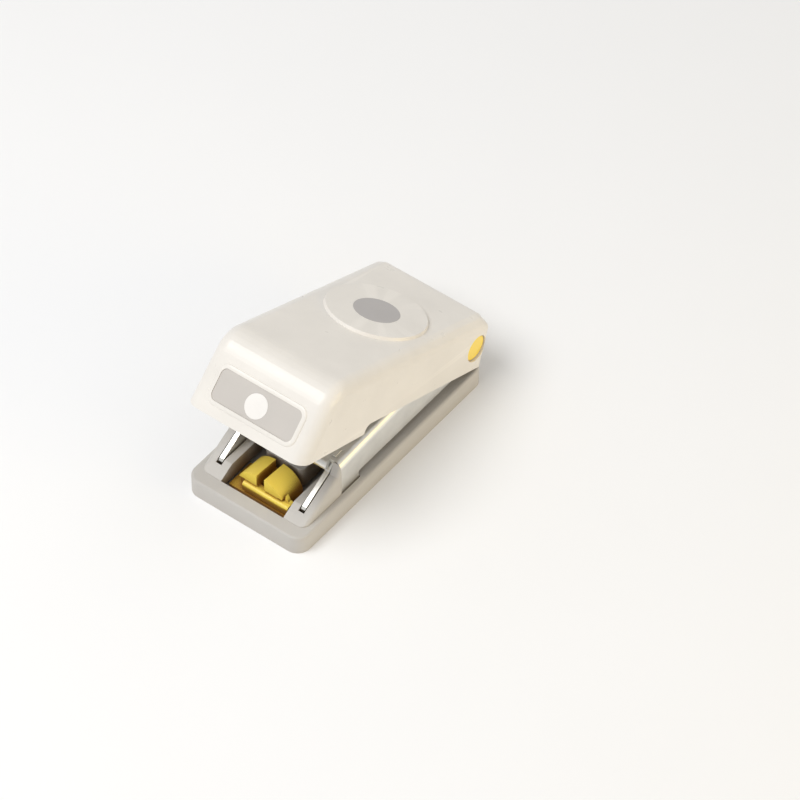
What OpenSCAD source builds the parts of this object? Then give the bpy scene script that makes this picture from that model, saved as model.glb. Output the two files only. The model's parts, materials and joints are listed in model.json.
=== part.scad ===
// Lever-action craft hole punch: a plastic base, a steel throat frame, a round punch and its die,
// a pivoting plastic lever, and a sliding catch that holds the lever down.
// X runs across, Y runs from the label end to the pivot end, Z is up from the table.
// Depths along the body are measured from the front edge of the base and moved to the centre
// by from_front(). The lever is described closed and turned open by on_lever().

/* [Base] */
// Width of the base
base_w = 48; // [47.6:0.1:49]
// Length of the base
base_len = 99.5; // [98:0.5:100]
// Height of the base rim and of the paper deck
deck_z = 7.4; // [7:0.1:7.6]
// Radius of the base corners seen from above
base_corner_r = 5; // [4:0.5:6]
// Thickness of the base deck
deck_t = 3.4; // [3:0.1:3.5]

/* [Cheeks] */
// Half width over the cheeks that hold the steel side plates
cheek_half_w = 21.7; // [21.6:0.05:21.8]
// Half width of the recess between the cheeks
recess_half_w = 13; // [12.5:0.1:13.4]
// Height of the inner wall of each cheek
inner_wall_z = 10.6; // [10.2:0.1:11.4]
// Height of the peak of each cheek
cheek_peak_z = 20.9; // [20.4:0.1:21.2]

/* [Steel frame] */
// Half width over the upper frame
frame_half_w = 21.4; // [21.2:0.05:21.5]
// Sheet thickness of the upper frame
frame_t = 1.6; // [1.2:0.1:1.8]
// Height of the lower edge of the upper frame above the table
throat_z = 10.2; // [10:0.1:10.4]
// Half width over the side plates of the lower frame
plate_half_w = 18.1; // [18:0.05:18.2]
// Thickness of the side plates of the lower frame
plate_t = 1.8; // [1.5:0.1:1.9]
// Depth of the paper stop from the front edge
stop_y = 34.4; // [34.2:0.1:34.8]

/* [Punch] */
// Diameter of the punched disc
hole_d = 15.875; // [15.5:0.005:16]
// Depth of the punch axis from the front edge
punch_y = 60; // [59:0.5:61]
// Travel of the punch
punch_travel = 12.5; // [12:0.1:12.5]
// Height of the punch tip when the lever is closed
tip_closed_z = 3.9; // [3.5:0.1:4.5]

/* [Lever] */
// Half width of the lever at its skirt
lever_half_w = 24; // [23.9:0.05:24.1]
// Wall thickness of the lever
lever_wall = 1.5; // [1.4:0.05:1.6]
// Depth of the pivot axis from the front edge
pivot_y = 95; // [94.5:0.1:95.5]
// Height of the pivot axis
pivot_z = 18.4; // [18:0.1:18.6]
// Angle that the lever stands open at rest
rest_tilt = 20.5; // [18:0.5:20.5]
// Height of the lever's top above the table at its shoulder when closed
lever_top_z = 32.4; // [32:0.1:33]

/* [Catch] */
// Radius of the rounded crown of each finger pad
pad_crown_r = 8; // [7.6:0.1:8]
// Travel of the catch
catch_travel = 2.8; // [2.5:0.1:2.8]

/* [Hidden] */
$fn = 64;
overall_len = 103.04;
front_y = -overall_len / 2;
eps = 0.01;

// Base
cavity_wall = 2.2;
cavity_h = deck_z - deck_t;
rim_round = 0.9;
ledge_y = 5.2;
slot_clear = 0.3;
recess_end_y = 35;
block_half_w = 8;
block_y = 21.5;
block_z = 12;
chip_r = 9.2;
cover_t = 1.6;
cover_z = 0.7;
post_r = 3;
post_inset = 6.2;
die_seat_half_w = 19.4;
die_seat_back_y = base_len - 4;

// Cheeks: the outer wall rises from foot to knee and more steeply from knee to peak
cheek_back_y = 24.9;
cheek_foot = [ledge_y, deck_z + 0.15];
cheek_knee = [22.9, 16.75];
cheek_peak = [cheek_back_y, cheek_peak_z];
cheek_r = 3;
cheek_edge_r = 1.4;
slot_front_y = 9.2;

// Steel side plates
plate_front_y = 10.2;
plate_foot_z = 2.5;
plate_floor_t = 1.4;
plate_back_y = 89.5;
die_screw_x = 14;
die_screw_ys = [42, 88];
die_screw_r = 1.1;

// Upper frame
web_front_y = 25.1;
web_front_z = 21.4;
web_rise = 3.4;
bend_r = 3;
lobe_r = 3.3;
foot_z = 2.5;
pin_r = 2;
rivet_z = 4.4;
rivet_r = 1.1;
rivet_head_r = 1.7;
rivet_head_t = 0.8;
running_fit = 0.05;
lip_r = 3;
lip_half_w = plate_half_w - 1.1;
stake_y = 26.4;
stake_len = 3.4;

// Punch
hole_r = hole_d / 2;
die_clear = 0.05;
die_t = 2;
punch_len = 8;
shank_r = 4.3;
head_r = 6;
head_t = 1.2;
head_closed_z = 26.6;
press_y = 57.5;
press_r = 1;
block_top_z = 20.9;
block_half = 15;
ring_r = 10.4;
ring_z = 24;
screw_span = 12;

// Lever
skirt_z = 8;
rear_skirt_z = 11.2;
rear_skirt_end_z = 9.7;
step_y = 33.8;
lever_front_y = -0.9;
lever_back_y = 101;
face_lean = 25;
top_slope = 2.6;
top_ref_y = 27;
shoulder_r = 11;
edge_r = 4.8;
back_r = 2.2;
side_draft = 1.2;
dot_y = 65.1;
dot_r = 7.94;
pad_r = 17.3;
pad_h = 1.0;
label_half_w = 16.4;
label_s0 = 5.1;
label_s1 = 16.4;
label_r = 2.2;
button_s = 10.3;
rim_w = 0.7;
rim_slope_w = 0.9;
rim_h = 0.45;
button_r = 4.3;
cap_r = 4.95;
cap_t = 1.4;
cap_sink = 0.75;
boss_r = 6.6;

// Catch
slot_half = 1.6;
pad_front_y = 9.6;
pad_back_y = 19.8;
pad_axis_z = 6.1;
pad_foot_z = 9.2;
pad_tilt = 6;
ledge_front_y = ledge_y + catch_travel + 0.4;
ledge_z = 8.2;
ledge_left = -6.8;
ledge_right = 12;
slider_z = 2.6;
bar_y = 18;
bar_z = 7.1;
bar_size = 1.9;

// Moves depths from the front edge of the base to the middle of the part
module from_front() {
    translate([0, front_y, 0]) children();
}

// Turns pieces of the lever from closed to open about the pivot
module on_lever() {
    translate([0, front_y + pivot_y, pivot_z])
        rotate([-rest_tilt, 0, 0])
            translate([0, -pivot_y, -pivot_z])
                children();
}

// Extrudes a side outline, drawn as (depth, height), across X between two planes
module across(x0, x1) {
    translate([x0, 0, 0]) rotate([90, 0, 90]) linear_extrude(x1 - x0) children();
}

// The same piece on the left and the right
module both_sides() {
    children();
    mirror([1, 0, 0]) children();
}

// Block with rounded vertical corners
module rounded_block(half_w, y0, y1, z0, z1, r) {
    translate([0, 0, z0]) linear_extrude(z1 - z0) rounded_plan(half_w, y0, y1, r);
}

// Outline with four round corners, from exact circles
module rounded_plan(half_w, y0, y1, r) {
    translate([-half_w + r, y0]) square([2 * (half_w - r), y1 - y0]);
    translate([-half_w, y0 + r]) square([2 * half_w, y1 - y0 - 2 * r]);
    for (x = [-half_w + r, half_w - r], y = [y0 + r, y1 - r]) translate([x, y]) circle(r);
}

// Countersunk or flat-headed screw that points down from z
module screw(x, y, z, head, shank, len, head_h) {
    translate([x, y, z - len]) cylinder(r = shank, h = len);
    difference() {
        translate([x, y, z - eps]) cylinder(r = head, h = head_h + eps);
        translate([x - head * 0.7, y - 0.25, z + head_h - 0.4]) cube([head * 1.4, 0.5, 1]);
        translate([x - 0.25, y - head * 0.7, z + head_h - 0.4]) cube([0.5, head * 1.4, 1]);
    }
}

// Where the four bottom screws stand
module post_places() {
    for (x = [-1, 1], y = [post_inset, base_len - post_inset])
        translate([x * (base_w / 2 - post_inset), y, 0]) children();
}

// Where the four screws of the die plate stand
module die_screw_places() {
    for (x = [-die_screw_x, die_screw_x], y = die_screw_ys) translate([x, y, 0]) children();
}

// Where the four screws of the punch guide stand
module guide_screw_places() {
    for (x = [-screw_span, screw_span], y = [punch_y - screw_span, punch_y + screw_span])
        translate([x, y, 0]) children();
}

// ---------- Base ----------

// Height of the frame's top at a depth
function web_z(y) = web_front_z + (y - web_front_y) * tan(web_rise);

module cheek_outline() {
    polygon([[ledge_y, 0.5], cheek_foot, cheek_knee, cheek_peak, [cheek_back_y, 0.5]]);
}

module inner_wall_outline() {
    rise = (cheek_knee - cheek_foot)[1] / (cheek_knee - cheek_foot)[0];
    wall_y = cheek_foot[0] + (inner_wall_z - cheek_foot[1]) / rise;
    polygon([[ledge_y, 0.5], cheek_foot, [wall_y, inner_wall_z], [28, inner_wall_z], [28, 0.5]]);
}

// Stretch of the outer wall under the line a-b, with a rounded outer edge
module wall_stretch(a, b, x0) {
    run = (b - a) / norm(b - a);
    inset = cheek_edge_r * [run[1], -run[0]];
    hull()
        for (turn = [0:22.5:90]) {
            p = a + inset * (1 - sin(turn));
            q = b + inset * (1 - sin(turn));
            across(x0, cheek_half_w - cheek_edge_r * (1 - cos(turn)))
                polygon([p, q, [q[0], 0.5], [p[0], 0.5]]);
        }
}

// One cheek: an outer wall, an inner wall and the slot for the steel plate between them
module cheek() {
    slot_x0 = plate_half_w - plate_t - slot_clear;
    slot_x1 = plate_half_w + slot_clear;
    intersection() {
        union() {
            wall_stretch(cheek_foot, cheek_knee, slot_x1);
            wall_stretch(cheek_knee - (cheek_peak - cheek_knee) / 2, cheek_peak, slot_x1);
            across(recess_half_w, slot_x0 + eps) inner_wall_outline();
            across(slot_x0, slot_x1 + eps) intersection() {
                cheek_outline();
                square([slot_front_y, 30]);
            }
        }
        rounded_block(cheek_half_w, ledge_y, cheek_back_y + 40, 0.4, 40, cheek_r);
        translate([0, 0, 0.4]) linear_extrude(40)
            polygon([[0, 0], [30, 0], [30, cheek_back_y], [slot_x0 + 0.2, cheek_back_y],
                [slot_x0 + 0.2, 30], [0, 30]]);
    }
}

module base_foot() {
    rim_z = deck_z - rim_round;
    hull() {
        rounded_block(base_w / 2, 0, base_len, 0, 0.1, base_corner_r);
        rounded_block(base_w / 2, 0, base_len, 1, rim_z, base_corner_r);
        for (i = [1:4]) {
            a = i * 22.5;
            inset = rim_round * (1 - cos(a));
            rounded_block(base_w / 2 - inset, inset, base_len - inset, rim_z,
                rim_z + rim_round * sin(a), base_corner_r - inset);
        }
    }
}

module base_body() {
    frame_slot_in = frame_half_w - frame_t - slot_clear;
    frame_slot_out = frame_half_w + slot_clear;
    color("#c9c5be") from_front() difference() {
        union() {
            base_foot();
            both_sides() cheek();
            rounded_block(block_half_w, block_y, recess_end_y, 2.5, block_z, 2);
        }
        // Recess for the catch, in front of and beside the back block
        difference() {
            translate([-recess_half_w, ledge_y, cavity_h - eps])
                cube([2 * recess_half_w, recess_end_y - ledge_y, 10 - cavity_h]);
            rounded_block(block_half_w, block_y, recess_end_y + 5, 0, block_z, 2);
        }
        // Hollow underside
        difference() {
            rounded_block(base_w / 2 - cavity_wall, cavity_wall, base_len - cavity_wall, -eps,
                cavity_h, base_corner_r - cavity_wall);
            translate([0, 0, -1]) post_places() cylinder(r = post_r, h = 10);
        }
        // Seat of the bottom cover
        translate([0, 0, -eps])
            rounded_block(base_w / 2 - cavity_wall, cavity_wall, base_len - cavity_wall, 0,
                cover_z + cover_t + 0.1, base_corner_r - cavity_wall);
        post_places() cylinder(r = 0.9, h = 5.6);
        // Slots for the steel side plates and for the flanges of the upper frame
        both_sides() {
            translate([plate_half_w - plate_t - slot_clear, slot_front_y, 2])
                cube([plate_t + 2 * slot_clear, stop_y + 0.2 - slot_front_y, 40]);
            translate([frame_slot_in, web_front_y, 2])
                cube([frame_slot_out - frame_slot_in, stop_y + 0.3 - web_front_y, 40]);
            // Pocket for the rivet heads, open from below
            translate([rivet_head_x - 0.3, rivet_ys[0] - rivet_head_r - 0.3, 2])
                cube([rivet_end_x - rivet_head_x + 0.6, rivet_ys[1] - rivet_ys[0] + 2 * rivet_head_r + 0.6,
                    rivet_z + rivet_head_r + 0.3 - 2]);
        }
        // Seat of the die plate
        translate([-die_seat_half_w, stop_y + 1.8, deck_z - die_t])
            cube([2 * die_seat_half_w, die_seat_back_y - stop_y - 1.8, die_t + eps]);
        translate([0, punch_y, -1]) cylinder(r = chip_r, h = 12);
        die_screw_places() cylinder(r = die_screw_r, h = 12);
    }
}

module bottom_cover() {
    half = base_w / 2 - cavity_wall - 0.2;
    color("#b9b5ae") from_front() difference() {
        rounded_block(half, cavity_wall + 0.2, base_len - cavity_wall - 0.2, cover_z,
            cover_z + cover_t, base_corner_r - cavity_wall - 0.2);
        translate([0, punch_y, 0]) cylinder(r = chip_r, h = 5);
        post_places() cylinder(r = 1.1, h = 5);
        // Slot for the thumb tab of the catch
        translate([-4.3, 9.4, 0]) cube([8.6, 8.2, 5]);
    }
}

module bottom_screws() {
    color("#8f9194") from_front() translate([0, 0, cover_z - 0.02]) post_places() mirror([0, 0, 1])
        screw(0, 0, 0, 1.6, 0.85, 4.4, 0.45);
}

// ---------- Steel frame ----------

module side_plate_outline() {
    polygon([[plate_front_y, plate_foot_z], [plate_front_y, 9.9], [plate_front_y + 0.7, 10.7],
        [23, 17.25], [25.2, 19.3], [26, web_z(26) - frame_t - 0.03],
        [stake_y, web_z(stake_y) - frame_t - 0.03], [stake_y, web_z(stake_y) + 0.5],
        [stake_y + stake_len, web_z(stake_y + stake_len) + 0.5],
        [stake_y + stake_len, web_z(stake_y + stake_len) - frame_t - 0.03],
        [stop_y, web_z(stop_y) - frame_t - 0.03], [stop_y, plate_foot_z + plate_floor_t],
        [plate_back_y, plate_foot_z + plate_floor_t], [plate_back_y, plate_foot_z]]);
}

module lower_frame() {
    color("#c4c7c9") from_front() difference() {
        union() {
            both_sides() across(plate_half_w - plate_t, plate_half_w) side_plate_outline();
            translate([-plate_half_w, stop_y + 1.8, plate_foot_z])
                cube([2 * plate_half_w, plate_back_y - stop_y - 1.8, plate_floor_t]);
        }
        translate([0, punch_y, 0]) cylinder(r = chip_r, h = 6);
        die_screw_places() cylinder(r = die_screw_r, h = 6);
        rivet_places() cylinder(r = rivet_r, h = 12);
    }
}

// Where the rivets cross the plates, pointing outward
rivet_ys = [27.4, 32];
rivet_head_x = plate_half_w - plate_t - rivet_head_t;
rivet_end_x = frame_half_w + rivet_head_t;

module rivet_places() {
    both_sides()
        for (y = rivet_ys)
            translate([rivet_head_x, y, rivet_z]) rotate([0, 90, 0]) children();
}

module frame_rivets() {
    span = rivet_end_x - rivet_head_x;
    color("#a9acae") from_front() rivet_places() {
        cylinder(r = rivet_r, h = span);
        cylinder(r = rivet_head_r, h = rivet_head_t);
        translate([0, 0, span - rivet_head_t]) cylinder(r = rivet_head_r, h = rivet_head_t);
    }
}

// Upper frame seen from the side: flange foot, paper stop, throat edge and the lobe at the pivot
module flange_outline() {
    lobe_top = pivot_z + lobe_r;
    polygon([[web_front_y, foot_z], [web_front_y, 40], [90, 40], [90, web_z(90)],
        [pivot_y - 1, lobe_top], [pivot_y, lobe_top], [pivot_y, pivot_z - lobe_r],
        [pivot_y - 2, pivot_z - lobe_r], [pivot_y - 8, throat_z], [stop_y, throat_z],
        [stop_y, foot_z]]);
    translate([pivot_y, pivot_z]) circle(lobe_r);
}

// Folded sheet section: two flanges and a web with round bends, seen along its length
module fold_section() {
    difference() {
        fold_outline(frame_half_w, 0, bend_r);
        fold_outline(frame_half_w - frame_t, -frame_t, bend_r - frame_t);
    }
}

module fold_outline(half_w, top, r) {
    translate([-half_w, -40]) square([2 * half_w, 40 + top - r]);
    translate([-half_w + r, -40]) square([2 * (half_w - r), 40 + top]);
    for (s = [-1, 1]) translate([s * (half_w - r), top - r]) circle(r);
}

module upper_frame() {
    color("#d2d5d6") from_front() difference() {
        union() {
            intersection() {
                translate([0, web_front_y, web_front_z]) rotate([web_rise, 0, 0])
                    translate([0, 100, 0]) rotate([90, 0, 0]) linear_extrude(120) fold_section();
                across(-30, 30) flange_outline();
            }
            // Front lip, rolled down between the side plates
            translate([-lip_half_w, web_front_y + 0.2, web_front_z - lip_r]) rotate([0, 90, 0])
                rotate([0, 0, 180]) difference() {
                    intersection() {
                        cylinder(r = lip_r, h = 2 * lip_half_w);
                        cube([lip_r, lip_r, 2 * lip_half_w]);
                    }
                    translate([0, 0, -1]) cylinder(r = lip_r - frame_t, h = 2 * lip_half_w + 2);
                }
        }
        translate([0, punch_y, 15]) cylinder(r = ring_r + 0.15, h = 15);
        translate([0, 0, 15]) guide_screw_places() cylinder(r = 1.1, h = 15);
        both_sides() translate([plate_half_w - plate_t - 0.1, stake_y - 0.1, 15])
            cube([plate_t + 0.2, stake_len + 0.2, 15]);
        translate([-30, pivot_y, pivot_z]) rotate([0, 90, 0]) cylinder(r = pin_r + running_fit, h = 60);
        rivet_places() cylinder(r = rivet_r, h = 12);
    }
}

module die_plate() {
    color("#b4b7b9") from_front() difference() {
        translate([-die_seat_half_w + 0.2, stop_y + 2, deck_z - die_t])
            cube([2 * die_seat_half_w - 0.4, die_seat_back_y - 0.2 - stop_y - 2, die_t]);
        translate([0, punch_y, 0]) cylinder(r = hole_r + die_clear, h = 12);
        die_screw_places() {
            cylinder(r = die_screw_r, h = 12);
            translate([0, 0, deck_z - 1]) cylinder(r = 2.2, h = 2);
        }
    }
}

module die_screws() {
    color("#9a9da0") from_front() die_screw_places()
        screw(0, 0, deck_z - 0.95, 2.15, die_screw_r, 3.9, 0.9);
}

module guide_block() {
    color("#9fa3a6") from_front() difference() {
        union() {
            rounded_block(block_half, punch_y - block_half, punch_y + block_half, throat_z,
                block_top_z, 2);
            translate([0, punch_y, block_top_z - eps]) cylinder(r = ring_r, h = ring_z - block_top_z);
        }
        translate([0, punch_y, 0]) cylinder(r = hole_r + die_clear, h = 40);
        translate([0, 0, 14]) guide_screw_places() cylinder(r = 1.1, h = 15);
    }
}

module guide_screws() {
    color("#8f9194") from_front()
        for (x = [-screw_span, screw_span], y = [-screw_span, screw_span])
            screw(x, punch_y + y, web_z(punch_y + y) + 0.15, 1.9, 1.1, 8, 1.3);
}

// ---------- Punch ----------

tip_rest_z = tip_closed_z + punch_travel;
head_rest_z = head_closed_z + punch_travel;

module punch() {
    top = tip_rest_z + punch_len;
    color("#c9cccf") from_front() translate([0, punch_y, 0]) difference() {
        union() {
            translate([0, 0, tip_rest_z]) cylinder(r = hole_r, h = punch_len);
            translate([0, 0, top - eps]) cylinder(r = shank_r, h = head_rest_z - head_t - top + eps);
        }
        // Hollow of the cutting edge
        translate([0, 0, tip_rest_z - 1]) cylinder(r = hole_r - 1.6, h = 4.5);
        translate([0, 0, head_rest_z - head_t - 7]) cylinder(r = 1.2, h = 10);
    }
}

module punch_head() {
    color("#b9bcbf") from_front() translate([0, punch_y, head_rest_z - head_t]) difference() {
        union() {
            cylinder(r = head_r, h = head_t - 0.5);
            translate([0, 0, head_t - 0.5 - eps]) cylinder(r1 = head_r, r2 = head_r - 0.5, h = 0.5 + eps);
        }
        translate([0, 0, -1]) cylinder(r = 1.2, h = 5);
        translate([0, 0, head_t - 0.7]) cylinder(r = 2.3, h = 2);
    }
}

module head_screw() {
    color("#8f9194") from_front()
        screw(0, punch_y, head_rest_z - 0.68, 2.2, 1.15, 6, 0.6);
}

// Conical spring under the punch head
spring_wire = 0.6;
spring_turns = 4;
spring_sides = 8;
spring_steps = 96;
spring_low_r = 9.4;
spring_high_r = 5.1;

function spring_centre(t) = let (
        z0 = ring_z + spring_wire + 0.05,
        z1 = head_rest_z - head_t - spring_wire - 0.05,
        ease = min(1, max(0, (t * spring_turns - 0.75) / (spring_turns - 1.5))),
        r = spring_low_r + (spring_high_r - spring_low_r) * t,
        a = 360 * spring_turns * t)
    [r * cos(a), r * sin(a), z0 + (z1 - z0) * ease];

function spring_ring(t) = let (
        a = 360 * spring_turns * t,
        out = [cos(a), sin(a), 0])
    [for (k = [0:spring_sides - 1])
        let (b = 360 * k / spring_sides)
        spring_centre(t) + spring_wire * (cos(b) * out + [0, 0, sin(b)])];

module return_spring() {
    rings = spring_steps + 1;
    points = [for (i = [0:spring_steps]) each spring_ring(i / spring_steps)];
    sides = [for (i = [0:spring_steps - 1], k = [0:spring_sides - 1])
        let (a = i * spring_sides + k, b = i * spring_sides + (k + 1) % spring_sides)
        [a, a + spring_sides, b + spring_sides, b]];
    first = [for (k = [0:spring_sides - 1]) k];
    last = [for (k = [spring_sides - 1:-1:0]) (rings - 1) * spring_sides + k];
    color("#aeb1b4") from_front() translate([0, punch_y, 0])
        polyhedron(points, concat(sides, [first, last]), convexity = 10);
}

// ---------- Lever ----------

// Half width of the lever at a height, with the draft of its sides
function lever_side(z) = lever_half_w - (z - skirt_z) * tan(side_draft);
// Height of the lever's top at a depth
function lever_top(y) = lever_top_z - (y - top_ref_y) * tan(top_slope);

face_dir = [sin(face_lean), cos(face_lean)];
face_in = [cos(face_lean), -sin(face_lean)];
top_in = [-sin(top_slope), -cos(top_slope)];
face_foot = [lever_front_y, skirt_z];
shoulder_c = let (
        start = face_foot + shoulder_r * face_in,
        gap = shoulder_r - (start - [top_ref_y, lever_top_z]) * top_in)
    start + face_dir * (gap / (face_dir * top_in));

// Closed outer form of the lever, drawn in by inset all round
module lever_form(inset) {
    foot_r = 5;
    face_a = 180 - face_lean;
    top_a = 90 - top_slope;
    steps = 6;
    hull() {
        for (s = [-1, 1]) {
            translate([s * (lever_half_w - foot_r), lever_front_y + foot_r, skirt_z - eps])
                cylinder(r = foot_r - inset, h = 2 * eps, $fn = 48);
            translate([s * (lever_half_w - back_r), lever_back_y - back_r, skirt_z - eps])
                cylinder(r = back_r - inset, h = 2 * eps, $fn = 48);
            for (i = [0:steps]) {
                a = face_a + (top_a - face_a) * i / steps;
                y = shoulder_c[0] + (shoulder_r - edge_r) * cos(a);
                z = shoulder_c[1] + (shoulder_r - edge_r) * sin(a);
                translate([s * (lever_side(z) - edge_r), y, z]) sphere(r = edge_r - inset, $fn = 32);
            }
            // Back corner: the upper edges keep the wide radius, the upright corner has a small one
            z = lever_top(lever_back_y - edge_r) - edge_r;
            spread = edge_r - back_r;
            steps_out = [for (turn = [0:30:60], along = [[1, 0], [0, 1]])
                [along[0] * cos(turn), along[1] * cos(turn), sin(turn)]];
            for (p = concat(steps_out, [[1, 1, 0], [0, 0, 1]]))
                translate([s * (lever_side(z) - edge_r + spread * p[0]),
                    lever_back_y - edge_r + spread * p[1], z + spread * p[2]])
                    sphere(r = back_r - inset, $fn = 32);
        }
    }
}

// Skirt line of the lever behind the cheeks: a rounded step, then nearly level to the back
module skirt_cut() {
    step_r = 2.7;
    across(-40, 40) polygon([[step_y, 0], [step_y, rear_skirt_z - step_r],
        for (a = [165:-15:90]) [step_y + step_r + step_r * cos(a), rear_skirt_z - step_r + step_r * sin(a)],
        [lever_back_y + 2, rear_skirt_end_z], [lever_back_y + 2, 0]]);
}

// Frame on the sloping label face: Y runs up the face and Z points out of it
module on_face() {
    translate([0, lever_front_y, skirt_z]) rotate([90 - face_lean, 0, 0]) children();
}

// Frame on the lever's top at a depth
module on_top(y) {
    translate([0, y, lever_top(y)]) rotate([-top_slope, 0, 0]) children();
}

module label_plan(grow) {
    rounded_plan(label_half_w + grow, label_s0 - grow, label_s1 + grow, label_r + grow);
}

// Raised rim round the label, with a rounded slope down to the face
module label_rim() {
    hull()
        for (a = [0:22.5:90])
            translate([0, 0, -0.2]) linear_extrude(0.2 + rim_h * sin(a))
                label_plan(rim_w + rim_slope_w * cos(a));
}

module lever_shell() {
    side = lever_side(pivot_z);
    color("#e9e5de") on_lever() difference() {
        union() {
            difference() {
                lever_form(0);
                lever_form(lever_wall);
                skirt_cut();
            }
            on_face() label_rim();
            on_top(dot_y) translate([0, 0, -0.4])
                cylinder(r1 = pad_r + 0.6, r2 = pad_r, h = pad_h + 0.4, $fn = 96);
            // Bosses of the pivot
            both_sides() translate([frame_half_w + 0.2, pivot_y, pivot_z]) rotate([0, 90, 0])
                intersection() {
                    cylinder(r = boss_r, h = side - frame_half_w - 0.8);
                    translate([-boss_r, -boss_r, 0]) cube([2 * boss_r, boss_r + 3.6, 5]);
                }
            // Block that carries the catch blade
            intersection() {
                translate([-6, 12.2, 28]) cube([12, 6, 6]);
                lever_form(lever_wall / 2);
            }
        }
        on_face() translate([0, 0, rim_h - 0.8]) linear_extrude(3) label_plan(0);
        on_top(dot_y) translate([0, 0, pad_h - 0.45]) cylinder(r = dot_r + 0.04, h = 2);
        translate([-40, pivot_y, pivot_z]) rotate([0, 90, 0]) cylinder(r = pin_r, h = 80);
        both_sides() translate([side - cap_t - 0.1, pivot_y, pivot_z]) rotate([0, 90, 0])
            cylinder(r = cap_r, h = 6);
        on_top(press_y) translate([0, 0, -lever_wall - 1]) press_screw_places()
            cylinder(r = 0.8, h = 1.9);
        translate([0, 15.2, 26]) for (x = [-3.6, 3.6]) translate([x, 0, 0]) cylinder(r = 0.8, h = 4.2);
    }
}

module label_plate() {
    color("#cfcac3") on_lever() on_face() translate([0, 0, rim_h - 0.78])
        linear_extrude(0.5) difference() {
            label_plan(-0.05);
            translate([0, button_s]) circle(button_r);
        }
}

module label_button() {
    color("#efece6") on_lever() on_face()
        translate([0, button_s, rim_h - 0.78]) cylinder(r = button_r - 0.04, h = 0.55);
}

module top_dot() {
    color("#b3b0ae") on_lever() on_top(dot_y) translate([0, 0, pad_h - 0.43])
        cylinder(r = dot_r, h = 0.45);
}

module pivot_pin() {
    half = lever_side(pivot_z) - cap_t - 0.15;
    color("#a9acae") on_lever() translate([-half, pivot_y, pivot_z]) rotate([0, 90, 0])
        cylinder(r = pin_r, h = 2 * half);
}

module pivot_caps() {
    side = lever_side(pivot_z);
    color("#ecc63a") on_lever() both_sides()
        translate([side - cap_t - 0.08, pivot_y, pivot_z]) rotate([0, 90, 0]) {
            cylinder(r = cap_r - 0.04, h = cap_t - cap_sink - 0.15);
            translate([0, 0, cap_t - cap_sink - 0.15 - eps])
                cylinder(r1 = cap_r - 0.04, r2 = cap_r - 0.24, h = 0.2);
        }
}

// Steel plate under the lever's top, with the rib that bears on the punch head
press_plate_t = 0.8;
press_ceiling_z = lever_top(press_y) - lever_wall;

module press_screw_places() {
    for (x = [-9.6, 9.6], y = [-5.4, -1.4]) translate([x, y, 0]) children();
}

module press_plate() {
    rib_half = 8;
    rib_z = head_closed_z + press_r + 0.04;
    color("#b4b7b9") on_lever() difference() {
        union() {
            on_top(press_y) translate([-12, -7.5, -lever_wall - press_plate_t - 0.02])
                cube([24, 9.2, press_plate_t]);
            translate([-rib_half, press_y, rib_z]) rotate([0, 90, 0])
                cylinder(r = press_r, h = 2 * rib_half);
            translate([-rib_half, press_y - press_r, rib_z])
                cube([2 * rib_half, 2 * press_r, press_ceiling_z - rib_z - 0.3]);
        }
        on_top(press_y) translate([0, 0, -lever_wall - 3]) press_screw_places()
            cylinder(r = 0.85, h = 4);
    }
}

module press_screws() {
    color("#8f9194") on_lever() on_top(press_y)
        translate([0, 0, -lever_wall - press_plate_t - 0.04]) press_screw_places()
            mirror([0, 0, 1]) screw(0, 0, 0, 1.5, 0.8, 1.6, 0.6);
}

// Hooked steel blade that the catch bar slides into
module catch_blade() {
    color("#b4b7b9") on_lever() {
        across(-0.9, 0.9) polygon([[12.4, 27.2], [17.6, 27.2], [17.6, 9.5], [14.3, 9.5], [14.3, 6.8],
            [17.6, 6.8], [16.4, 5.3], [12.4, 5.3]]);
        difference() {
            translate([-5.6, 12.4, 27]) cube([11.2, 5.6, 0.98]);
            for (x = [-3.6, 3.6]) translate([x, 15.2, 26]) cylinder(r = 0.9, h = 4);
        }
    }
}

module catch_screw() {
    color("#8f9194") on_lever()
        for (x = [-3.6, 3.6]) translate([x, 15.2, 26.98]) mirror([0, 0, 1])
            screw(0, 0, 0, 1.5, 0.8, 3, 0.8);
}

// ---------- Catch ----------

// Rounded finger pad: a slice of a cylinder that dips slightly towards the back
module finger_pad() {
    depth = pad_back_y - pad_front_y;
    intersection() {
        translate([slot_half, pad_front_y - 1, pad_axis_z]) rotate([-90 - pad_tilt, 0, 0])
            cylinder(r = pad_crown_r, h = depth + 3);
        translate([slot_half, pad_front_y, 0]) cube([pad_crown_r, depth, 30]);
        union() {
            translate([0, pad_front_y, pad_foot_z]) cube([20, depth, 20]);
            translate([0, pad_front_y + 1.6, slider_z]) cube([20, depth, 20]);
        }
    }
}

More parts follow.
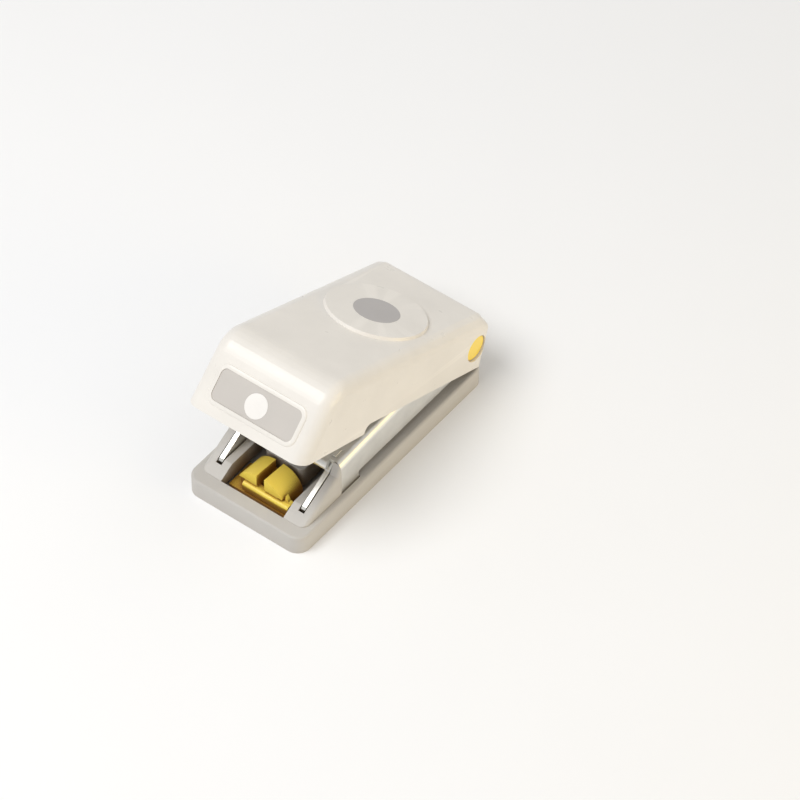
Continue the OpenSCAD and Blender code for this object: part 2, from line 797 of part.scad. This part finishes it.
module catch_slider() {
    ledge_r = 1.2;
    ledge_foot_z = 5;
    plate_half = recess_half_w - 0.6;
    plate_h = 1.3;
    ledge_len = pad_front_y + 2 - ledge_front_y;
    color("#ecc63a") from_front() {
        both_sides() finger_pad();
        // Ledge in front of the pads, with a round upper edge
        translate([ledge_left, 0, 0]) {
            translate([0, ledge_front_y + ledge_r, ledge_foot_z])
                cube([ledge_right - ledge_left, ledge_len - ledge_r, ledge_z - ledge_foot_z]);
            translate([0, ledge_front_y, ledge_foot_z])
                cube([ledge_right - ledge_left, ledge_len, ledge_z - ledge_r - ledge_foot_z]);
            translate([0, ledge_front_y + ledge_r, ledge_z - ledge_r]) rotate([0, 90, 0])
                cylinder(r = ledge_r, h = ledge_right - ledge_left);
        }
        // Plate that slides on the floor of the recess, and the feet of the pads
        translate([-plate_half, ledge_front_y, slider_z])
            cube([2 * plate_half, pad_back_y - ledge_front_y, plate_h]);
        for (x0 = [ledge_left, slot_half])
            translate([x0, pad_front_y + 0.4, slider_z])
                cube([-slot_half - ledge_left, 3, pad_foot_z - slider_z + eps]);
        // Fin at the right end of the ledge
        translate([0, pad_front_y + 2.4, 0]) rotate([90, 0, 0]) linear_extrude(1.4)
            polygon([[9.4, ledge_z - 1], [9.7, ledge_z + 2.6], [10.9, ledge_z + 0.4],
                [ledge_right, ledge_z], [ledge_right, ledge_z - 1]]);
        // Bar that enters the blade
        translate([-slot_half - 0.5, bar_y, bar_z]) cube([2 * slot_half + 1, bar_size, bar_size]);
        // Thumb tab under the base
        translate([-3.5, 13.2, 0.4]) cube([7, 3.6, 2.5]);
    }
}

base_body();
bottom_cover();
bottom_screws();
lower_frame();
upper_frame();
frame_rivets();
die_plate();
die_screws();
guide_block();
guide_screws();
return_spring();
punch();
punch_head();
head_screw();
lever_shell();
label_plate();
label_button();
top_dot();
pivot_pin();
pivot_caps();
press_plate();
press_screws();
catch_blade();
catch_screw();
catch_slider();
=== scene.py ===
"""Looks for the lever craft hole punch: materials, softened edges, a smooth spring, light and camera."""
import json
import math

import bpy
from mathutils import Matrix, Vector


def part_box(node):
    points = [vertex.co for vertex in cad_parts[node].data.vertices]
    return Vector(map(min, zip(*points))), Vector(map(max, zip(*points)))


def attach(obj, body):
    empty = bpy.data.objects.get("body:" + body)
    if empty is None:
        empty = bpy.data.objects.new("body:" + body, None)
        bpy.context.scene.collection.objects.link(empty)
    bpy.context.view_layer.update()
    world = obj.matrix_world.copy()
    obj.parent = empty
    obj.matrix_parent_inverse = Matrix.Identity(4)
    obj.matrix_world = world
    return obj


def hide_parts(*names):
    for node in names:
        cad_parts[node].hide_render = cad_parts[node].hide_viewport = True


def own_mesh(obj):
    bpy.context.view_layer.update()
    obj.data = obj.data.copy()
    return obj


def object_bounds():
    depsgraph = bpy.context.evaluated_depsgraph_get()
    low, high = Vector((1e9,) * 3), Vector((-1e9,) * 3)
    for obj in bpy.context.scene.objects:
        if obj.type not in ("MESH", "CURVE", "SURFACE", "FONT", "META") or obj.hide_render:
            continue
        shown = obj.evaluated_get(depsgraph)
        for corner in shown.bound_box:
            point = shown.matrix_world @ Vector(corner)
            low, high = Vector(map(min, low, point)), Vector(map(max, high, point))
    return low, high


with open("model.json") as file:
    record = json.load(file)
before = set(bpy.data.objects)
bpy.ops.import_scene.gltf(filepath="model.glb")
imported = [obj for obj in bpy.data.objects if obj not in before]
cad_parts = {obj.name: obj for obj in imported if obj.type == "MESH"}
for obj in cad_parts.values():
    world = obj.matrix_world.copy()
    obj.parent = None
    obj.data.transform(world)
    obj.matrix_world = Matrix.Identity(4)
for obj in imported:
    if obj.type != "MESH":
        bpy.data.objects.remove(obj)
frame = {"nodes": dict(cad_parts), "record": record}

MM = 0.001
CAD_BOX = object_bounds()
NODES = frame["nodes"]


# ---------- Shader ----------

NOISE_SPAN = (0.3, 0.7)           # the values that a noise texture mostly takes
EDGE_POINTINESS = (0.52, 0.62)    # from a slightly rounded surface to a sharp convex edge
MIX_FACTOR, MIX_A, MIX_B, MIX_RESULT = 0, 6, 7, 2    # the colour sockets of a Mix node


class Shader:
    """A Principled material whose colour, roughness and bump come from noise in object space."""

    def __init__(self, name, colour, roughness, metallic=0.0):
        self.material = bpy.data.materials.new(name)
        self.material.use_nodes = True
        self.tree = self.material.node_tree
        self.bsdf = self.tree.nodes["Principled BSDF"]
        self.bsdf.inputs["Metallic"].default_value = metallic
        self.colour = colour
        self.roughness = roughness
        self.coords = self.tree.nodes.new("ShaderNodeTexCoord").outputs["Object"]
        self.base = None
        self.bump = None

    def link(self, source, target):
        self.tree.links.new(source, target)

    def stretched(self, scale):
        """Object coordinates scaled unevenly, for grain that runs one way."""
        mapping = self.tree.nodes.new("ShaderNodeMapping")
        mapping.inputs["Scale"].default_value = scale
        self.link(self.coords, mapping.inputs["Vector"])
        return mapping.outputs["Vector"]

    def noise(self, size_mm, detail, coords=None):
        node = self.tree.nodes.new("ShaderNodeTexNoise")
        node.inputs["Scale"].default_value = 1.0 / (size_mm * MM)
        node.inputs["Detail"].default_value = detail
        self.link(coords or self.coords, node.inputs["Vector"])
        return node.outputs["Fac"]

    def remap(self, value, low, high, span=NOISE_SPAN):
        """Takes the values between the two ends of span to the range from low to high."""
        node = self.tree.nodes.new("ShaderNodeMapRange")
        node.inputs["From Min"].default_value = span[0]
        node.inputs["From Max"].default_value = span[1]
        node.inputs["To Min"].default_value = low
        node.inputs["To Max"].default_value = high
        self.link(value, node.inputs["Value"])
        return node.outputs["Result"]

    def mix(self, factor, a, b):
        """Goes from a to b, each of them a colour or another node's output."""
        node = self.tree.nodes.new("ShaderNodeMix")
        node.data_type = "RGBA"
        self.link(factor, node.inputs[MIX_FACTOR])
        for value, socket in ((a, node.inputs[MIX_A]), (b, node.inputs[MIX_B])):
            if isinstance(value, tuple):
                socket.default_value = (*value, 1.0)
            else:
                self.link(value, socket)
        return node.outputs[MIX_RESULT]

    def mottle(self, amount, size_mm):
        """Slight drift of colour across the surface."""
        dark = tuple(c * (1 - amount) for c in self.colour)
        light = tuple(min(1.0, c * (1 + amount)) for c in self.colour)
        self.base = self.mix(self.remap(self.noise(size_mm, 3.0), 0.0, 1.0), dark, light)

    def lighten_convex_edges(self, gain, amount):
        """Convex edges, found by pointiness, are made a little lighter."""
        lightened = tuple(min(1.0, c * gain) for c in self.colour)
        geometry = self.tree.nodes.new("ShaderNodeNewGeometry")
        edge = self.remap(geometry.outputs["Pointiness"], 0.0, amount, EDGE_POINTINESS)
        self.base = self.mix(edge, self.base, lightened)

    def paint_cavity_shade(self, colour, reach_mm, span):
        """Painted shade: deep corners, found by ambient occlusion, are painted a darker, warmer tone in place
        of the shade and bounced light inside them.
        """
        node = self.tree.nodes.new("ShaderNodeAmbientOcclusion")
        node.samples = 8
        node.inputs["Distance"].default_value = reach_mm * MM
        self.base = self.mix(self.remap(node.outputs["AO"], 0.0, 1.0, span), colour, self.base)

    def rough(self, spread, size_mm, coords=None):
        low, high = self.roughness - spread, self.roughness + spread
        self.link(self.remap(self.noise(size_mm, 4.0, coords), low, high), self.bsdf.inputs["Roughness"])

    def grain(self, size_mm, depth_mm, coords=None):
        """A layer of surface texture; layers add up."""
        node = self.tree.nodes.new("ShaderNodeBump")
        node.inputs["Strength"].default_value = 1.0
        node.inputs["Distance"].default_value = depth_mm * MM
        self.link(self.noise(size_mm, 3.0, coords), node.inputs["Height"])
        if self.bump:
            self.link(self.bump, node.inputs["Normal"])
        self.bump = node.outputs["Normal"]

    def finish(self):
        self.link(self.base, self.bsdf.inputs["Base Color"])
        if self.bump:
            self.link(self.bump, self.bsdf.inputs["Normal"])
        return self.material


# ---------- Materials ----------

def plastic(name, colour, roughness, spark, coat=0.0, drift=0.03, painted_shade=None):
    """Moulded plastic: fine spark texture, faint flow variation and slightly lighter convex edges."""
    shader = Shader(name, colour, roughness)
    shader.mottle(drift, size_mm=14.0)
    shader.lighten_convex_edges(gain=1.12, amount=0.5)
    # Painted shade: where given, deep corners are darkened towards a warmer tone found by ambient occlusion
    if painted_shade:
        shader.paint_cavity_shade(**painted_shade)
    shader.rough(0.05, size_mm=6.0)
    shader.grain(size_mm=9.0, depth_mm=0.02)
    shader.grain(**spark)
    shader.bsdf.inputs["Coat Weight"].default_value = coat
    shader.bsdf.inputs["Coat Roughness"].default_value = 0.18
    return shader.finish()


def steel(name, colour, roughness, lines, stretch=(1.0, 1.0, 1.0), drift=0.08):
    """Bare or plated steel: fine grain, drawn out into lines along an axis by stretch, and cloudy marks."""
    shader = Shader(name, colour, roughness, metallic=1.0)
    shader.mottle(drift, size_mm=5.0)
    rolled = shader.stretched(stretch)
    shader.rough(0.05, lines["size_mm"] * 2, rolled)
    shader.grain(**lines, coords=rolled)
    shader.grain(size_mm=4.0, depth_mm=0.003)
    return shader.finish()


PLASTICS = {
    "grey_plastic": dict(
        colour=(0.525, 0.502, 0.468), roughness=0.5, spark=dict(size_mm=0.35, depth_mm=0.008),
        # Painted shade: corners and recesses darken towards brown, standing in for shade and yellow bounced
        # light
        painted_shade=dict(colour=(0.22, 0.15, 0.08), reach_mm=12.0, span=(0.15, 0.55))),
    "grey_plastic_dark": dict(
        colour=(0.46, 0.43, 0.40), roughness=0.55, spark=dict(size_mm=0.35, depth_mm=0.02)),
    "ivory_plastic": dict(
        colour=(0.80, 0.765, 0.71), roughness=0.32, spark=dict(size_mm=0.5, depth_mm=0.004), coat=0.15),
    "yellow_plastic": dict(
        colour=(1.0, 0.74, 0.11), roughness=0.36, spark=dict(size_mm=0.5, depth_mm=0.004), coat=0.1,
        # Painted shade: deep corners of the slider darken towards orange-brown, in place of the shade there
        drift=0.02, painted_shade=dict(colour=(0.36, 0.16, 0.02), reach_mm=14.0, span=(0.40, 0.62))),
    "label_film": dict(
        colour=(0.56, 0.525, 0.485), roughness=0.45, spark=dict(size_mm=0.3, depth_mm=0.004)),
    "button_plastic": dict(
        colour=(0.86, 0.83, 0.79), roughness=0.35, spark=dict(size_mm=0.4, depth_mm=0.003)),
    "dot_film": dict(
        colour=(0.46, 0.44, 0.43), roughness=0.4, spark=dict(size_mm=0.3, depth_mm=0.003)),
}

STEELS = {
    "zinc_steel": dict(
        colour=(0.83, 0.82, 0.78), roughness=0.33, lines=dict(size_mm=0.6, depth_mm=0.0006),
        stretch=(1.0, 0.12, 1.0), drift=0.05),
    "ground_steel": dict(
        colour=(0.62, 0.63, 0.64), roughness=0.3, lines=dict(size_mm=0.2, depth_mm=0.002),
        stretch=(1.0, 1.0, 6.0)),
    "screw_steel": dict(
        colour=(0.50, 0.51, 0.52), roughness=0.3, lines=dict(size_mm=0.2, depth_mm=0.002)),
    "rivet_steel": dict(
        colour=(0.74, 0.75, 0.76), roughness=0.25, lines=dict(size_mm=0.2, depth_mm=0.002)),
    "spring_steel": dict(
        colour=(0.58, 0.59, 0.61), roughness=0.25, lines=dict(size_mm=0.3, depth_mm=0.002)),
}

MATERIALS = {name: plastic(name, **look) for name, look in PLASTICS.items()}
MATERIALS.update({name: steel(name, **look) for name, look in STEELS.items()})


# ---------- CAD nodes ----------

WELD_MM = 0.012
BEVEL_ANGLE = 32          # degrees; a gentler fold belongs to a curve and stays as it is
DEFAULT_EDGE_MM = 0.12

# Width of the softened edges, where it isn't the default
EDGE_MM = {
    "base_body": 0.3,
    "lever_shell": 0.3,
    "catch_slider": 0.3,
    "lower_frame": 0.6,
    "return_spring": 0.0,
}


def soften(node, width):
    """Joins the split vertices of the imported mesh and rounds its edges, as moulded and tumbled parts are."""
    weld = node.modifiers.new("weld", "WELD")
    weld.merge_threshold = WELD_MM * MM
    if width > 0:
        bevel = node.modifiers.new("edges", "BEVEL")
        bevel.width = width
        bevel.segments = 3
        bevel.limit_method = "ANGLE"
        bevel.angle_limit = math.radians(BEVEL_ANGLE)
        bevel.use_clamp_overlap = True
        bevel.harden_normals = False
    normals = node.modifiers.new("normals", "WEIGHTED_NORMAL")
    normals.keep_sharp = True


def dress_nodes():
    """Every CAD node gets its slot's material and softened edges."""
    slots = {part["node"]: part["material_slot"] for part in frame["record"]["subparts"]}
    for name, node in NODES.items():
        node.data.materials.clear()
        node.data.materials.append(MATERIALS[slots[name]])
        soften(node, EDGE_MM.get(name, DEFAULT_EDGE_MM) * MM)


# ---------- Spring ----------

WIRE_R = 0.6 * MM
TURNS = 4
FLAT_TURNS = 0.75         # how far the wire lies level at each end
RINGS = 160               # steps along the wire
SIDES = 12                # points round the wire


def coil_mesh(name, axis_y, bottom, top, bottom_r, top_r):
    """A closed tube of round wire that climbs from one radius to another, with level end turns."""
    points, faces = [], []
    for i in range(RINGS + 1):
        along = i / RINGS
        climb = min(1.0, max(0.0, (along * TURNS - FLAT_TURNS) / (TURNS - 2 * FLAT_TURNS)))
        angle = 2 * math.pi * TURNS * along
        out = Vector((math.cos(angle), math.sin(angle), 0.0))
        centre = Vector((0.0, axis_y, bottom + (top - bottom) * climb))
        centre += out * (bottom_r + (top_r - bottom_r) * along)
        for k in range(SIDES):
            side = 2 * math.pi * k / SIDES
            points.append(centre + WIRE_R * (math.cos(side) * out + Vector((0.0, 0.0, math.sin(side)))))
    for i in range(RINGS):
        for k in range(SIDES):
            a, b = i * SIDES + k, i * SIDES + (k + 1) % SIDES
            faces.append((a, a + SIDES, b + SIDES, b))
    faces.append(tuple(range(SIDES)))
    faces.append(tuple(RINGS * SIDES + k for k in reversed(range(SIDES))))
    mesh = bpy.data.meshes.new(name)
    mesh.from_pydata(points, [], faces)
    mesh.polygons.foreach_set("use_smooth", [len(face) == 4 for face in faces])
    return mesh


def add_spring():
    """A smooth coil in place of the faceted one."""
    low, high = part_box("return_spring")
    punch_low, punch_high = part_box("punch")
    axis_y = (punch_low.y + punch_high.y) / 2
    head_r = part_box("punch_head")[1].x
    mesh = coil_mesh("return_coil", axis_y, low.z + WIRE_R, high.z - WIRE_R,
                     high.x - WIRE_R, head_r - 1.5 * WIRE_R)
    mesh.materials.append(MATERIALS["spring_steel"])
    coil = bpy.data.objects.new("return_coil", mesh)
    bpy.context.scene.collection.objects.link(coil)
    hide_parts("return_spring")
    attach(coil, "base")
    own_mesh(coil)


# ---------- Camera ----------

AZIMUTH = 37.6                      # degrees to the right of the front
ELEVATION = 47.9                    # degrees above the table
DISTANCE = 1.635                    # metres from the target
TARGET_MM = (7.44, 22.98, 0.0)      # the point on the table in the middle of the picture
SENSOR_MM = 36.0
LENS_MM = 220.5


def add_object(data):
    """Puts a new camera or light into the scene under its own name."""
    thing = bpy.data.objects.new(data.name, data)
    bpy.context.scene.collection.objects.link(thing)
    return thing


def look_at(thing, place, target):
    thing.location = place
    thing.rotation_mode = "QUATERNION"
    thing.rotation_quaternion = (target - place).to_track_quat("-Z", "Y")


def add_camera():
    """The photograph's view: a long lens, from the right front and well above."""
    camera = add_object(bpy.data.cameras.new("camera"))
    azimuth, elevation = math.radians(AZIMUTH), math.radians(ELEVATION)
    back = Vector((math.sin(azimuth) * math.cos(elevation), -math.cos(azimuth) * math.cos(elevation),
                   math.sin(elevation)))
    target = Vector(TARGET_MM) * MM
    look_at(camera, target + back * DISTANCE, target)
    camera.data.sensor_width = SENSOR_MM
    camera.data.lens = LENS_MM
    camera.data.clip_start = 0.05
    camera.data.clip_end = 20.0
    bpy.context.scene.camera = camera


# ---------- Stage ----------

FLOOR_SIZE = 6.0                              # metres
SKY_STRENGTH = 0.60
FLAG_TOWARDS = Vector((-0.41, 0.53, 0.74))    # where in the surroundings the dark flag hangs
FLAG_EDGE = (0.84, 0.97)                      # cosine from its middle: outer edge, full shade
FLAG_SHADE = 0.25


def add_floor():
    bpy.ops.mesh.primitive_plane_add(size=FLOOR_SIZE, location=(0, 0, CAD_BOX[0].z))
    floor = bpy.context.object
    floor.name = "floor"
    paper = Shader("floor_paper", (0.93, 0.93, 0.93), roughness=0.8)
    paper.mottle(0.004, size_mm=90.0)
    paper.rough(0.05, size_mm=20.0)
    floor.data.materials.append(paper.finish())


def add_sky():
    """White surroundings with one dark flag, which bright steel that faces up reflects."""
    world = bpy.data.worlds.new("studio")
    bpy.context.scene.world = world
    world.use_nodes = True
    tree = world.node_tree
    background = tree.nodes["Background"]
    background.inputs["Strength"].default_value = SKY_STRENGTH
    coords = tree.nodes.new("ShaderNodeTexCoord")
    facing = tree.nodes.new("ShaderNodeVectorMath")
    facing.operation = "DOT_PRODUCT"
    facing.inputs[1].default_value = FLAG_TOWARDS
    shade = tree.nodes.new("ShaderNodeMapRange")
    shade.inputs["From Min"].default_value = FLAG_EDGE[0]
    shade.inputs["From Max"].default_value = FLAG_EDGE[1]
    shade.inputs["To Min"].default_value = 1.0
    shade.inputs["To Max"].default_value = FLAG_SHADE
    tree.links.new(coords.outputs["Generated"], facing.inputs[0])
    tree.links.new(facing.outputs["Value"], shade.inputs["Value"])
    tree.links.new(shade.outputs["Result"], background.inputs["Color"])


def add_area(name, place, aim, size, power, colour=(1.0, 1.0, 1.0)):
    """A round soft light."""
    data = bpy.data.lights.new(name, "AREA")
    data.shape = "DISK"
    data.size = size
    data.energy = power
    data.color = colour
    look_at(add_object(data), Vector(place), Vector(aim))


def add_lights():
    """A soft key from the left front, and the low warm glow that the photo shows on the right side."""
    add_area("key", place=(-0.25, -0.45, 0.95), aim=(0, 0, 0.02), size=0.7, power=6.5)
    add_area("warm_side", place=(0.75, 0.15, 0.16), aim=(0, 0, 0.03), size=0.5, power=1.6,
             colour=(1.0, 0.75, 0.30))


dress_nodes()
add_spring()
add_camera()
add_floor()
add_sky()
add_lights()
bpy.context.scene.view_settings.view_transform = "Standard"
